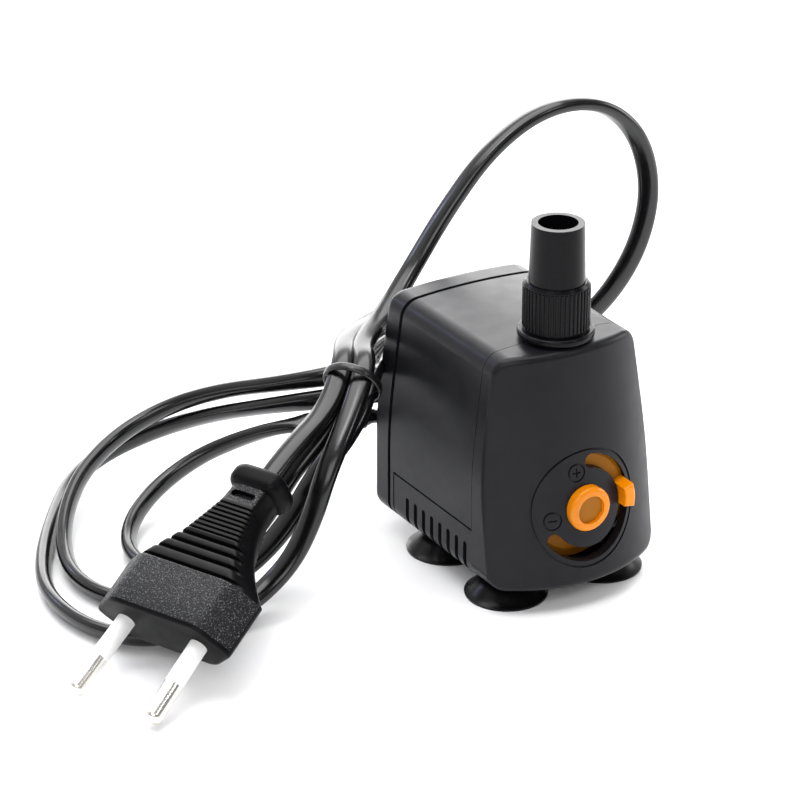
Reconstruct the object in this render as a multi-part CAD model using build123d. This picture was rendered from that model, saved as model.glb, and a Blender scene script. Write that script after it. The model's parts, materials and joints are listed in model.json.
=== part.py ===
"""Small submersible fountain pump with a flat mains lead and a two-pin plug.

Millimetres, +Z up.  The pump stands on its four suction cups at z = 0 with its
dial face to -Y, its cable side to +Y and its outlet pointing up.  The origin is
under the middle of the pump, on the floor.
"""
import os
from math import atan, cos, degrees, pi, radians, sin, tan

from build123d import *

# ---------------------------------------------------------------- casing outline
BASE_HALF = 21.0          # half width of the casing over its straight lower part
BOTTOM = 5.3              # underside of the casing above the floor
TOP = 56.0                # top of the side walls
CROWN = 0.9               # how much higher the middle of the top is
KNEE = 29.7               # height at which the sides begin to lean in
SIDE_LEAN = 0.137         # lean of the upper sides, mm per mm
KNEE_RADIUS = 126.0
TOP_CORNER = 4.4
BOTTOM_CORNER = 3.9
WALL = 2.0

# ---------------------------------------------------------------- casing along Y
REAR = 28.0               # back face of the rear cover
REAR_SEAM = 20.3          # back edge of the motor housing
SEAL_THICK = 1.1          # the dark seal between housing and rear cover
FRONT_SEAM = -13.6        # housing to front cover, at the casing's underside
SEAM_LEAN = 0.039         # the front seam leans back, mm per mm of height
SEAM_GAP = 0.14
FRONT_EDGE = -20.3        # front cover's side edges, at the casing's underside
FRONT_BOW = 7.8           # how far the middle of the front stands proud of them
FRONT_LEAN = 0.152        # the front face leans back, mm per mm of height
FRONT_FILLET = 1.6
REAR_FILLET = 2.4

# ---------------------------------------------------------------- intake tray
TRAY_TOP = 16.8
TRAY_WALL = 1.6
TRAY_REAR = 18.6
TRAY_GROOVE = 0.45        # visible gap round the tray
TOE_TOP = 8.9             # the low toe that runs forward under the front cover
TOE_FRONT = -19.2
SLOTS = 8
SLOT_PITCH = 3.365
SLOT_WIDTH = 1.35
SLOT_TOP = 12.6           # centre of each slot's round top end
SLOT_FIRST = -10.5
SLOT_INNER = 15.6         # how far in under the corner each slot reaches

# ---------------------------------------------------------------- inner box
BOX_HALF = 16.2           # outer half width of the sealed motor box below the tray's top
BOX_BOTTOM = 10.6
BOX_WALL = 1.6
LEDGE = 1.6
BULKHEAD_FRONT = -6.6
BULKHEAD_THICK = 1.8

# ---------------------------------------------------------------- rotor line
AXIS_Z = 22.3
WELL_BORE = 7.9
WELL_WALL = 1.1
WELL_END = 16.0
MAGNET_RADIUS = 7.3
MAGNET_BORE = 2.6
MAGNET_Y = (-3.0, 14.0)
SHAFT_RADIUS = 1.0
SHAFT_Y = (-16.9, 15.8)
RUNNING = 0.06            # radial clearance of a running fit
BUSH_RADIUS = 2.4

# ---------------------------------------------------------------- pump chamber
CHAMBER_BORE = 10.6
CHAMBER_WALL = 1.2
CHAMBER_Y = (-17.4, -7.1)
SEAL_RING = 0.5
PORT_RADIUS = 7.2
RISER_Y = -12.0
RISER_RADIUS = 4.8
RISER_BORE = 3.2
RISER_TOP = 66.0

# ---------------------------------------------------------------- outlet adaptor
FLANGE_Z = (57.25, 58.9)
FLANGE_RADIUS = 8.2
COLLAR_Z = (58.9, 69.4)
COLLAR_RADIUS = 6.85      # root of the knurl
KNURL_HEIGHT = 0.3
KNURL_RIBS = 44
PIPE_TOP = 82.2
PIPE_RADIUS = (6.0, 5.6)  # at the collar, at the tip
PIPE_BORE = 4.2
SOCKET_CLEAR = 0.08

# ---------------------------------------------------------------- dial
RING_RADIUS = 12.7
RING_GROOVE = 0.5
SLOT_RADII = (8.5, 11.6)
SLOT_ANGLES = (9.0, 234.0)   # clockwise from the top, centres of the round ends
MARK_RADIUS = 8.4
MARK_ANGLES = (-15.0, -100.0)
MARK_RING = 1.9
HUB_RADIUS = 5.0
HUB_RECESS = 3.2
HUB_FRONT = -27.0
TAB_ANGLE = 86.0
TAB_RADII = (8.82, 11.28)
TAB_HALF_ANGLE = 14.0
TAB_FRONT = -27.0
DIAL_FLAT = 10.8          # the disc behind the slot is flat to here, then dished back to its rim
DIAL_RIM = 13.2
DIAL_DISH = 1.2
DIAL_Y = (-21.9, -20.7)
DIAL_CLEAR = 0.2

# ---------------------------------------------------------------- stator
CORE_Y = (0.0, 12.0)
LEG_X = (6.0, 12.0)
YOKE_Z = (47.6, 53.0)
POLE_Z = 13.0
POLE_HALF = 14.2
BOBBIN_Z = (33.2, 47.4)
BOBBIN_HALF = (7.2, 10.3)
BOBBIN_WALL = 0.8
WINDING_HALF = (6.4, 9.5)

# ---------------------------------------------------------------- suction cups
CUP_X = 12.2
CUP_Y = (-13.3, 10.7)
CUP_RADIUS = 9.05
CUP_STEM = 2.0
CUP_HEAD = 3.0

# ---------------------------------------------------------------- mains lead
GLAND = (8.0, 14.0)       # x, z of the lead where it leaves the rear cover
GLAND_RADIUS = 4.0
GLAND_COLLAR = 5.2        # collar of the bend relief against the cover
GLAND_TIP = 2.75
GLAND_OUT = 20.0          # length of the bend relief behind the cover
CORD_RADIUS = 1.9         # the plain tube that stands for the flat two-core lead
CORE_RADIUS = 0.8
CORE_SPREAD = 0.95

# The lead is one length, tied where its four strands pass the pump's rear left edge.
TIE_AT = (-32.8, 16.8, 41.0)
TIE_AXIS = (0.62, 0.55, 0.56)
TIE_PITCH = (2.5, 2.4)    # half the distance between strands, across and up
TIE_RADIUS = 6.9
TIE_WIDTH = 2.6

# ---------------------------------------------------------------- plug
PLUG_FACE = (-92.5, -9.7, 11.35)   # middle of the plug's front face
PLUG_HEADING = -65.8
PLUG_PITCH = 28.6
PLUG_HALF = (17.65, 6.85)
PLUG_RIM_HALF = 11.0      # half width of the flat top of the plug's six-sided face
PLUG_SLAB = 12.5
PLUG_NECK = 36.0
PLUG_NECK_HALF = (5.0, 4.25)
PLUG_END = 41.0
PLUG_END_HALF = (5.7, 4.8)
PIN_LENGTH = 19.0
PIN_RADIUS = 2.0
PIN_SPREAD = 9.3          # half the spacing of the pins at the face
PIN_TIP_SPREAD = 8.75
SLEEVE_LENGTH = 10.0
PIN_CORE = 1.55           # radius of the pin inside its sleeve
PIN_ROOT = 4.0            # length of pin moulded into the body


def half_width(z, inset=0.0):
    """Half width of the casing's straight-line outline at height z."""
    return BASE_HALF - inset - SIDE_LEAN * max(0.0, z - KNEE)


def outline(inset=0.0):
    """The casing's cross-section, drawn on the XZ plane and set in by inset."""
    bottom, top = BOTTOM + inset, TOP - inset
    low, high = half_width(0, inset), half_width(top, inset)
    sides = Polyline((-high, top), (-low, KNEE), (-low, bottom), (low, bottom), (low, KNEE), (high, top))
    crown = ThreePointArc((high, top), (0, top + CROWN), (-high, top))
    face = make_face([*sides.edges(), crown])
    low_round, top_round = (max(r - inset, 1.0) for r in (BOTTOM_CORNER, TOP_CORNER))
    rounds = ((bottom, low_round), (top, top_round), (KNEE, KNEE_RADIUS))
    for height, radius in rounds:
        corners = [v for v in face.vertices() if abs(v.Y - height) < 0.01]
        face = fillet(corners, radius)
    return Plane.XZ * face


def casing(inset, y0, y1):
    """A solid length of the casing from y0 to y1."""
    return Pos(0, y1, 0) * extrude(outline(inset), y1 - y0)


def block(x0, x1, y0, y1, z0, z1):
    return Pos((x0 + x1) / 2, (y0 + y1) / 2, (z0 + z1) / 2) * Box(x1 - x0, y1 - y0, z1 - z0)


def rod_y(radius, y0, y1, x=0.0, z=AXIS_Z):
    """A cylinder along Y."""
    return Pos(x, (y0 + y1) / 2, z) * Rot(90, 0, 0) * Cylinder(radius, y1 - y0)


def rod_z(radius, z0, z1, x=0.0, y=0.0):
    """A cylinder along Z."""
    return Pos(x, y, (z0 + z1) / 2) * Cylinder(radius, z1 - z0)


def on_dial(radius, clockwise, y=0.0):
    """A point on the dial: its angle runs clockwise from the top, seen from the front."""
    a = radians(clockwise)
    return (radius * sin(a), y, AXIS_Z + radius * cos(a))


def behind_plane(start, lean, inset=0.0):
    """Everything behind a plane that leans back, and that crosses BOTTOM at y = start."""
    tilt = degrees(atan(lean))
    facing = (0, cos(radians(tilt)), -sin(radians(tilt)))
    plane = Plane(origin=(0, start + inset, BOTTOM), x_dir=(1, 0, 0), z_dir=facing)
    return extrude(plane * Rectangle(160, 260), 120)


def behind_front(inset=0.0):
    """Everything behind the bowed, leaning front face, set back by inset."""
    edge = FRONT_EDGE + inset
    nose = edge - FRONT_BOW
    with BuildSketch(Plane.XY.offset(BOTTOM)) as sketch:
        with BuildLine():
            ThreePointArc((-BASE_HALF, edge), (0, nose), (BASE_HALF, edge))
            Polyline((BASE_HALF, edge), (BASE_HALF, 60), (-BASE_HALF, 60), (-BASE_HALF, edge))
        make_face()
    up = extrude(sketch.sketch, TOP, dir=(0, FRONT_LEAN, 1))
    down = extrude(sketch.sketch, 8, dir=(0, -FRONT_LEAN, -1))
    return up + down


def dial_slot(grow, y0, y1):
    """The curved slot of the dial as a solid from y0 to y1."""
    inner, outer = SLOT_RADII[0] - grow, SLOT_RADII[1] + grow
    middle = (inner + outer) / 2
    band = rod_y(outer, y0, y1) - rod_y(inner, y0, y1)
    first, last = SLOT_ANGLES
    wedge = extrude(sector(first, last, 40), y1 - y0)
    slot = band & (Pos(0, y1, 0) * wedge)
    for angle in SLOT_ANGLES:
        x, _, z = on_dial(middle, angle)
        slot += rod_y((outer - inner) / 2, y0, y1, x, z)
    return slot


def sector(first, last, reach):
    """A flat fan on the XZ plane between two clockwise dial angles."""
    steps = 8
    angles = [first + (last - first) * i / steps for i in range(steps + 1)]
    rim = [(on_dial(reach, a)[0], on_dial(reach, a)[2]) for a in angles]
    with BuildSketch(Plane.XZ) as fan:
        with BuildLine():
            Polyline((0, AXIS_Z), *rim, (0, AXIS_Z))
        make_face()
    return fan.sketch


def one(shape):
    """The shape as one solid."""
    solids = shape.solids()
    return max(solids, key=lambda s: s.volume)


# ---------------------------------------------------------------- casings

def tray_space(gap):
    """The room that the intake tray takes out of the casing, grown by gap."""
    skirt = block(-30, 30, FRONT_SEAM - 3, TRAY_REAR + gap, 0, TRAY_TOP + gap)
    toe = block(-30, 30, TOE_FRONT - gap, TRAY_REAR + gap, 0, TOE_TOP + gap)
    return skirt & behind_plane(FRONT_SEAM, SEAM_LEAN), toe


def make_motor_housing():
    seam = behind_plane(FRONT_SEAM, SEAM_LEAN, SEAM_GAP)
    skin = casing(0, -30, REAR_SEAM) & seam
    skirt = block(-30, 30, -40, TRAY_REAR + TRAY_GROOVE, 0, TRAY_TOP + TRAY_GROOVE)
    body = skin - skirt
    body += block(-BOX_HALF, BOX_HALF, BULKHEAD_FRONT, TRAY_REAR + 1, BOX_BOTTOM, TRAY_TOP + 2)
    front_room = casing(WALL, -40, BULKHEAD_FRONT)
    back = BULKHEAD_FRONT + BULKHEAD_THICK
    motor_room = casing(WALL, back, 40) - block(-30, 30, -40, 60, 0, TRAY_TOP + TRAY_GROOVE + LEDGE)
    box_half = BOX_HALF - BOX_WALL
    motor_room += block(-box_half, box_half, back, 40, BOX_BOTTOM + BOX_WALL, TRAY_TOP + 4)
    body -= front_room - block(-30, 30, -40, BULKHEAD_FRONT, 0, TRAY_TOP + LEDGE)
    body -= motor_room
    body -= rod_y(CHAMBER_BORE + CHAMBER_WALL + 0.3, -40, BULKHEAD_FRONT)
    body += rod_y(WELL_BORE + WELL_WALL, back - 0.5, WELL_END + 1.5)
    body -= rod_y(WELL_BORE, -40, WELL_END - 1.0)
    body -= rod_y(BUSH_RADIUS, WELL_END - 1.2, WELL_END)
    body -= rod_z(RISER_RADIUS + 0.5, 45, 70, 0, RISER_Y)
    return one(body)


def make_rear_seal():
    front, back = REAR_SEAM, REAR_SEAM + SEAL_THICK
    return one(casing(0.7, front, back) - casing(WALL, front - 1, back + 1))


def make_rear_cover():
    start = REAR_SEAM + SEAL_THICK
    body = casing(0, start, REAR)
    back_edges = body.faces().sort_by(Axis.Y)[-1].edges()
    body = fillet(back_edges, REAR_FILLET)
    body -= casing(WALL, start - 1, REAR - WALL)
    lip = casing(WALL + 0.15, REAR_SEAM - 2.5, start + 1) - casing(WALL + 1.35, REAR_SEAM - 4, start + 2)
    body += lip - block(-30, 30, 0, 30, 0, TRAY_TOP + 3)
    x, z = GLAND
    body -= rod_y(GLAND_RADIUS, start, REAR + 5, x, z)
    return one(body)


def make_front_cover():
    body = casing(0, -40, 0) & behind_front()
    body -= behind_plane(FRONT_SEAM, SEAM_LEAN)
    front_edges = []
    for e in body.edges():
        up = e.center().Z - BOTTOM
        reach = min(FRONT_EDGE + FRONT_LEAN * up + 1.2, FRONT_SEAM + SEAM_LEAN * up - 0.5)
        if e.center().Y < reach and e.length > 3:
            front_edges.append(e)
    body = fillet(front_edges, FRONT_FILLET)
    body -= casing(WALL, -60, 10) & behind_front(WALL + 0.2)
    body -= block(-30, 30, TOE_FRONT - SEAM_GAP, 0, 0, TOE_TOP + SEAM_GAP)
    body -= rod_z(RISER_RADIUS + 0.5, 45, 70, 0, RISER_Y)
    for side in (-1, 1):
        inner = half_width(34) - WALL - 1.6
        body += block(*sorted((side * inner, side * (inner + 1.4))), -16.5, -8.5, 26, 34)
        body += block(*sorted((side * inner, side * (inner + 3.0))), -16.5, -14.2, 26, 34)
    pocket = dial_profile(DIAL_Y[0] - DIAL_CLEAR, DIAL_CLEAR)
    body -= dished_disc(pocket, [(0, -17), (DIAL_RIM + DIAL_CLEAR, -17)])
    body -= dial_slot(0.0, -40, -15)
    body -= rod_y(HUB_RADIUS + 0.08, -40, -15)
    body -= dial_marks()
    return one(body)


def front_band(depth):
    """The outermost layer of the front face, depth thick."""
    return behind_front(-2) - behind_front(depth)


def dial_marks():
    """Shallow engraving of the dial: its ring, and a circled plus and minus."""
    half = RING_GROOVE / 2
    cut = rod_y(RING_RADIUS + half, -40, -15) - rod_y(RING_RADIUS - half, -40, -15)
    for angle in MARK_ANGLES:
        x, _, z = on_dial(MARK_RADIUS, angle)
        cut += rod_y(MARK_RING + 0.15, -40, -15, x, z) - rod_y(MARK_RING - 0.2, -40, -15, x, z)
        cut += block(x - 0.95, x + 0.95, -40, -15, z - 0.17, z + 0.17)
    x, _, z = on_dial(MARK_RADIUS, MARK_ANGLES[0])
    cut += block(x - 0.17, x + 0.17, -40, -15, z - 0.95, z + 0.95)
    return cut & front_band(0.4)


def make_intake_tray():
    shell = casing(0, -40, TRAY_REAR) - casing(TRAY_WALL, -60, 60)
    skirt, toe = tray_space(0.0)
    body = shell & (skirt + toe)
    for i in range(SLOTS):
        y = SLOT_FIRST + i * SLOT_PITCH
        for side in (-1, 1):
            x0, x1 = sorted((side * SLOT_INNER, side * 24))
            body -= block(x0, x1, y - SLOT_WIDTH / 2, y + SLOT_WIDTH / 2, 0, SLOT_TOP)
            body -= Pos((x0 + x1) / 2, y, SLOT_TOP) * Rot(0, 90, 0) * Cylinder(SLOT_WIDTH / 2, x1 - x0)
    for x in (-CUP_X, CUP_X):
        for y in CUP_Y:
            body -= rod_z(CUP_STEM, 0, 9, x, y)
    return one(body)


def make_suction_cup(x, y):
    """A cup with a domed skirt, and a button stem that snaps through the tray."""
    floor_in, shelf = BOTTOM + TRAY_WALL, BOTTOM
    with BuildSketch(Plane.XZ) as sketch:
        with BuildLine():
            Polyline((0, 2.6), (0, floor_in + 1.5), (CUP_HEAD - 0.7, floor_in + 1.5))
            Polyline((CUP_HEAD - 0.7, floor_in + 1.5), (CUP_HEAD, floor_in), (CUP_STEM, floor_in),
                     (CUP_STEM, shelf), (3.4, shelf))
            Spline((3.4, shelf), (5.4, 3.4), (CUP_RADIUS, 0.5), tangents=[(0.1, -1), (1, -0.45)])
            Polyline((CUP_RADIUS, 0.5), (CUP_RADIUS - 0.1, 0), (CUP_RADIUS - 0.9, 0))
            Spline((CUP_RADIUS - 0.9, 0), (4.6, 2.0), (0, 2.6), tangents=[(-1, 0.45), (-1, 0)])
        make_face()
    cup = revolve(sketch.sketch, Axis.Z)
    return one(Pos(x, y, 0) * cup)


# ---------------------------------------------------------------- wet end

def ports_ring(inner, y0, y1):
    """Four water ports between the spokes of a cross, as a solid from y0 to y1."""
    ring = rod_y(PORT_RADIUS, y0, y1) - rod_y(inner, y0 - 1, y1 + 1)
    upright = block(-1, 1, y0 - 1, y1 + 1, 0, 60)
    level = block(-20, 20, y0 - 1, y1 + 1, AXIS_Z - 1, AXIS_Z + 1)
    return ring - upright - level


def make_pump_chamber():
    y0, y1 = CHAMBER_Y
    body = rod_y(CHAMBER_BORE + CHAMBER_WALL, y0, y1)
    body += rod_z(RISER_RADIUS, AXIS_Z + CHAMBER_BORE - 1, RISER_TOP, 0, RISER_Y)
    body -= rod_y(CHAMBER_BORE, y0 + 1.5, y1 + 5)
    body -= rod_z(RISER_BORE, AXIS_Z + 6, RISER_TOP + 1, 0, RISER_Y)
    body -= ports_ring(3.9, y0 - 1, y0 + 3)
    body += rod_y(3.6, y0, y0 + 2.4)
    body -= rod_y(1.7, y0 + 0.5, y0 + 5)
    groove = rod_z(RISER_RADIUS + 1, 62.0, 63.1, 0, RISER_Y) - rod_z(3.95, 61, 64, 0, RISER_Y)
    return one(body - groove)


def make_impeller():
    back = -8.4
    body = rod_y(9.2, back - 1.2, back) + rod_y(3.2, -14.2, back)
    blade_back, blade_front = back - 1.0, -14.6
    for i in range(6):
        blade = block(2.6, 9.2, blade_front, blade_back, AXIS_Z - 0.5, AXIS_Z + 0.5)
        body += Pos(0, 0, AXIS_Z) * Rot(0, 60 * i, 0) * Pos(0, 0, -AXIS_Z) * blade
    body += rod_y(4.4, back - 0.5, MAGNET_Y[0])
    body += rod_y(MAGNET_BORE, MAGNET_Y[0] - 0.5, MAGNET_Y[1])
    body -= rod_y(SHAFT_RADIUS + RUNNING, -40, 40)
    return one(body)


def make_rotor_magnet():
    return one(rod_y(MAGNET_RADIUS, *MAGNET_Y) - rod_y(MAGNET_BORE, -40, 40))


def make_rotor_shaft():
    return one(rod_y(SHAFT_RADIUS, *SHAFT_Y))


def make_front_bush():
    y0 = CHAMBER_Y[0] + 0.5
    return one(rod_y(1.7, y0, y0 + 1.9) - rod_y(SHAFT_RADIUS, SHAFT_Y[0], 0))


def make_rear_bush():
    return one(rod_y(BUSH_RADIUS, 14.6, WELL_END) - rod_y(SHAFT_RADIUS, 0, SHAFT_Y[1]))


def make_chamber_seal():
    y1 = BULKHEAD_FRONT
    return one(rod_y(CHAMBER_BORE + CHAMBER_WALL - 0.1, y1 - SEAL_RING, y1) - rod_y(CHAMBER_BORE, -40, 0))


def make_outlet_adaptor():
    z0, z1 = FLANGE_Z
    body = rod_z(FLANGE_RADIUS, z0, z1, 0, RISER_Y)
    body = fillet(body.edges().filter_by(GeomType.CIRCLE), 0.6)
    body += rod_z(COLLAR_RADIUS, z1 - 0.5, COLLAR_Z[1] - 0.6, 0, RISER_Y)
    body += Pos(0, RISER_Y, COLLAR_Z[1] - 0.3) * Cone(COLLAR_RADIUS, COLLAR_RADIUS - 0.5, 0.6)
    rib_bottom, rib_top = z1 + 0.6, COLLAR_Z[1] - 0.9
    for i in range(KNURL_RIBS):
        a = 360 / KNURL_RIBS * i
        rib = Cylinder(KNURL_HEIGHT, rib_top - rib_bottom)
        body += Pos(0, RISER_Y, (rib_bottom + rib_top) / 2) * Rot(0, 0, a) * Pos(COLLAR_RADIUS, 0, 0) * rib
    low, high = PIPE_RADIUS
    rise = PIPE_TOP - COLLAR_Z[1]
    body += Pos(0, RISER_Y, COLLAR_Z[1] + rise / 2 - 0.05) * Cone(low, high, rise + 0.1)
    body -= rod_z(RISER_RADIUS + SOCKET_CLEAR, z0 - 1, RISER_TOP + 0.4, 0, RISER_Y)
    body -= rod_z(PIPE_BORE, z0, PIPE_TOP + 1, 0, RISER_Y)
    return one(body)


def make_outlet_o_ring():
    return one(Pos(0, RISER_Y, 62.55) * Torus(4.4, 0.45))


def dished_disc(front, backs):
    """A disc round the dial's axis: front and back profiles as (radius, y) pairs from the axis out."""
    outline = Polyline(*front, *reversed(backs), front[0])
    return Pos(0, 0, AXIS_Z) * revolve(make_face(outline.edges()), Axis.Y)


def dial_profile(y, grow=0.0):
    """(radius, y) along a face of the disc that crosses its axis at y."""
    return [(0, y), (DIAL_FLAT + grow, y), (DIAL_RIM + grow, y + DIAL_DISH)]


def make_regulator():
    y0, y1 = DIAL_Y
    body = dished_disc(dial_profile(y0), dial_profile(y1))
    hub = rod_y(HUB_RADIUS, HUB_FRONT, y0 + 0.5)
    body += fillet(hub.edges().filter_by(GeomType.CIRCLE).sort_by(Axis.Y)[0], 0.9)
    recess = rod_y(HUB_RECESS, HUB_FRONT - 1, HUB_FRONT + 0.8)
    body -= recess
    body -= ports_ring(HUB_RADIUS + 0.4, y0 - 1, y1 + 1)
    return one(body + dial_tab())


def dial_tab():
    """The finger tab that stands out through the curved slot."""
    inner, outer = TAB_RADII
    angles = (TAB_ANGLE - TAB_HALF_ANGLE, TAB_ANGLE, TAB_ANGLE + TAB_HALF_ANGLE)
    near, far = ([(on_dial(r, a)[0], on_dial(r, a)[2]) for a in angles] for r in (inner, outer))
    edges = [ThreePointArc(*near), ThreePointArc(*far), Line(near[0], far[0]), Line(near[2], far[2])]
    base = DIAL_Y[0] + 0.3
    tab = Pos(0, base, 0) * extrude(Plane.XZ * make_face(edges), base - TAB_FRONT)
    return fillet(tab.faces().sort_by(Axis.Y)[0].edges(), 0.6)


# ---------------------------------------------------------------- motor

def make_stator_core():
    y0, y1 = CORE_Y
    body = block(-LEG_X[1], LEG_X[1], y0, y1, *YOKE_Z)
    for side in (-1, 1):
        body += block(*sorted((side * LEG_X[0], side * LEG_X[1])), y0, y1, POLE_Z + 10, YOKE_Z[1])
        body += block(*sorted((side * 1.6, side * POLE_HALF)), y0, y1, POLE_Z, 33.0)
    return one(body - rod_y(WELL_BORE + WELL_WALL + 0.1, -40, 40))


def around_leg(side, half_x, half_y, z0, z1):
    x = side * (LEG_X[0] + LEG_X[1]) / 2
    y = (CORE_Y[0] + CORE_Y[1]) / 2
    return block(x - half_x, x + half_x, y - half_y, y + half_y, z0, z1)


def make_coil_bobbin(side):
    leg_half = ((LEG_X[1] - LEG_X[0]) / 2, (CORE_Y[1] - CORE_Y[0]) / 2)
    tube_half = [h + BOBBIN_WALL for h in leg_half]
    z0, z1 = BOBBIN_Z
    body = around_leg(side, *tube_half, z0, z1)
    body += around_leg(side, *BOBBIN_HALF, z0, z0 + 1) + around_leg(side, *BOBBIN_HALF, z1 - 1, z1)
    return one(body - around_leg(side, *leg_half, 0, 60))


def make_coil_winding(side):
    tube_half = [h / 2 + BOBBIN_WALL for h in (LEG_X[1] - LEG_X[0], CORE_Y[1] - CORE_Y[0])]
    z0, z1 = BOBBIN_Z
    body = around_leg(side, *WINDING_HALF, z0 + 1, z1 - 1)
    body = fillet(body.edges().filter_by(Axis.Z), 2.5)
    return one(body - around_leg(side, *tube_half, 0, 60))


def make_thermal_fuse():
    return one(Pos(-8.5, 16.9, 44.5) * Rot(0, 90, 0) * Cylinder(1.3, 9))


def make_lead_wire(side):
    """One insulated core, from the end of the lead's sheath to its winding."""
    x, z = GLAND
    x += side * CORE_SPREAD
    back, wall = CORD_START - 0.1, WELL_END + 2.8
    coil_x, coil_y, coil_z = side * 9.0, CORE_Y[1] + 4.2, 40.0
    route = [
        (x, back, z), (x, wall, z), (coil_x, wall, z + 12), (coil_x, wall, coil_z),
        (coil_x, coil_y, coil_z)]
    path = FilletPolyline(*route, radius=0.9)
    return one(sweep(Plane(origin=route[0], z_dir=(0, -1, 0)) * Circle(CORE_RADIUS), path))


def make_potting_resin(inside):
    """Cast resin that fills the sealed motor box around everything in it."""
    back = BULKHEAD_FRONT + BULKHEAD_THICK
    box_half = BOX_HALF - BOX_WALL
    room = casing(WALL, back, REAR_SEAM - 2.6) - block(-30, 30, -40, 60, 0, TRAY_TOP + TRAY_GROOVE + LEDGE)
    room += block(-box_half, box_half, back, REAR_SEAM - 2.6, BOX_BOTTOM + BOX_WALL, TRAY_TOP + 4)
    room -= rod_y(WELL_BORE + WELL_WALL, -40, WELL_END + 1.5)
    for part in inside:
        room -= part
    return one(room)


# ---------------------------------------------------------------- mains lead

CORD_START = 25.0         # the sheath ends inside the rear cover

ARCH = [
    (8, 25, 14), (8, 37.5, 14.35), (8, 50, 14), (15, 59, 13.5), (28, 63, 14), (41, 60, 17), (50, 53, 23),
    (55.3, 46, 34), (59.7, 42, 47), (61.4, 41, 61), (56.8, 41, 75), (45.7, 41, 84), (31, 41, 85), (17, 41, 78),
    (5, 40, 66), (-4, 39, 55), (-14, 34, 48), (-25, 26, 46)]

OUTER_LOOP = [
    (-46, 4.5, 30), (-49.5, 4.5, 20), (-54, 5, 11), (-61.5, 5, 5), (-71, 3, 2.5), (-81, 2, 2.5),
    (-90, 4, 2.5), (-96, 11, 2.5), (-99, 21, 2.5), (-98.5, 34, 2.5), (-93, 47, 2.7), (-84, 61, 3.3), (-74, 74, 4),
    (-63, 79.5, 6.5), (-51, 75.5, 11.5), (-42, 65, 17.5), (-34.5, 51, 23.5), (-26, 40, 27.5),
    (-13, 35, 28.5), (1, 33, 28), (14, 34, 28)]
OUTER_RETURN = [(3, 46, 35), (-7, 38.3, 38.3), (-18.5, 30.5, 38.3)]

MIDDLE_LOOP = [
    (-46, 9, 27), (-51, 11, 17), (-59, 13, 8), (-70, 14, 2.5), (-80, 16, 2.5), (-87.5, 22, 2.5),
    (-91, 33, 2.7), (-88.5, 46, 3.5), (-82, 58, 6.5), (-73.5, 67, 10), (-62, 72.5, 14), (-50, 71, 19), (-40.5, 62.5, 24.2),
    (-32, 49.5, 29), (-24, 40.5, 32.5), (-12, 38, 33.8), (1, 37.2, 33.4), (13, 37, 34)]
MIDDLE_RETURN = [(4, 52.9, 33.8), (-6, 44.6, 37), (-17.5, 35.7, 40.6)]

INNER_LOOP = [
    (-49, 15, 26), (-54, 17, 16), (-60.5, 18.5, 8.5), (-69, 21.5, 3.8), (-75, 28, 2.7), (-76, 37, 2.7),
    (-73.5, 45, 3), (-68.5, 51.5, 4.5), (-60, 56.5, 7.5), (-50.5, 56, 12.5), (-42, 50.5, 17.5),
    (-34.5, 42, 22.5),
    (-25, 35, 24), (-12, 35, 22.5), (3, 37.5, 21.5), (16, 38.5, 21), (27, 40, 22), (37, 46.5, 23.5),
    (41, 57.5, 25), (35, 68, 27), (23.5, 70, 29.5), (12, 63.5, 33), (3, 56, 37.5), (-7, 45.5, 41.8),
    (-17.5, 36.3, 45.2), (-26.5, 30.5, 45.8)]


def hairpin(x, y, radius, first, last, z0, z1, runs=6):
    """Points of a rising half turn of the lead, at even angles round (x, y)."""
    points = []
    for i in range(runs + 1):
        a = radians(first + (last - first) * i / runs)
        points.append((x + radius * cos(a), y + radius * sin(a), z0 + (z1 - z0) * i / runs))
    return points


def through_tie(across, up):
    """The two route points of a strand that passes through the tie, from above it to below it."""
    axis = Vector(*TIE_AXIS).normalized()
    side = Vector(axis.Y, -axis.X, 0).normalized()
    offset = side * (across * TIE_PITCH[0]) + side.cross(axis) * (up * TIE_PITCH[1])
    centre = Vector(*TIE_AT) + offset
    return [tuple(centre + axis * 5), tuple(centre - axis * 7)]


def on_plug(y):
    """A point on the plug's long axis, y behind its front face."""
    return tuple((plug_place() * Pos(0, y, 0)).position)


def plug_place():
    return Pos(*PLUG_FACE) * Rot(0, 0, PLUG_HEADING) * Rot(PLUG_PITCH, 0, 0)


def cord_route():
    """The whole lead, from inside the rear cover to inside the plug."""
    return [*ARCH, *through_tie(1, 1),
            *OUTER_LOOP, *hairpin(24, 46.5, 13.5, -75, 150, 27.8, 28.2), *OUTER_RETURN, *through_tie(1, -1),
            *MIDDLE_LOOP, *hairpin(26, 51, 13.7, -80, 150, 34.2, 32.2), *MIDDLE_RETURN, *through_tie(-1, -1),
            *INNER_LOOP, *through_tie(-1, 1),
            on_plug(PLUG_END + 8), on_plug(PLUG_END - 3)]


def corner_radii(route):
    """The largest arc that each corner's two runs allow."""
    points = [Vector(*p) for p in route]
    radii = []
    for a, b, c in zip(points, points[1:], points[2:]):
        turn = radians((b - a).get_angle(c - b))
        radii.append(0.45 * min((b - a).length, (c - b).length) / tan(turn / 2))
    return radii


def make_power_cord():
    route = cord_route()
    radii = corner_radii(route)
    path = FilletPolyline(*route, radius=radii)
    start = Vector(*route[0])
    profile = Plane(origin=start, z_dir=Vector(*route[1]) - start) * Circle(CORD_RADIUS)
    cord = one(sweep(profile, path))
    expected = pi * CORD_RADIUS ** 2 * path.length
    print("lead: length", round(path.length, 1), "smallest radius", round(min(radii), 1),
          "volume over section times length", round(cord.volume / expected, 4))
    return cord


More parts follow.
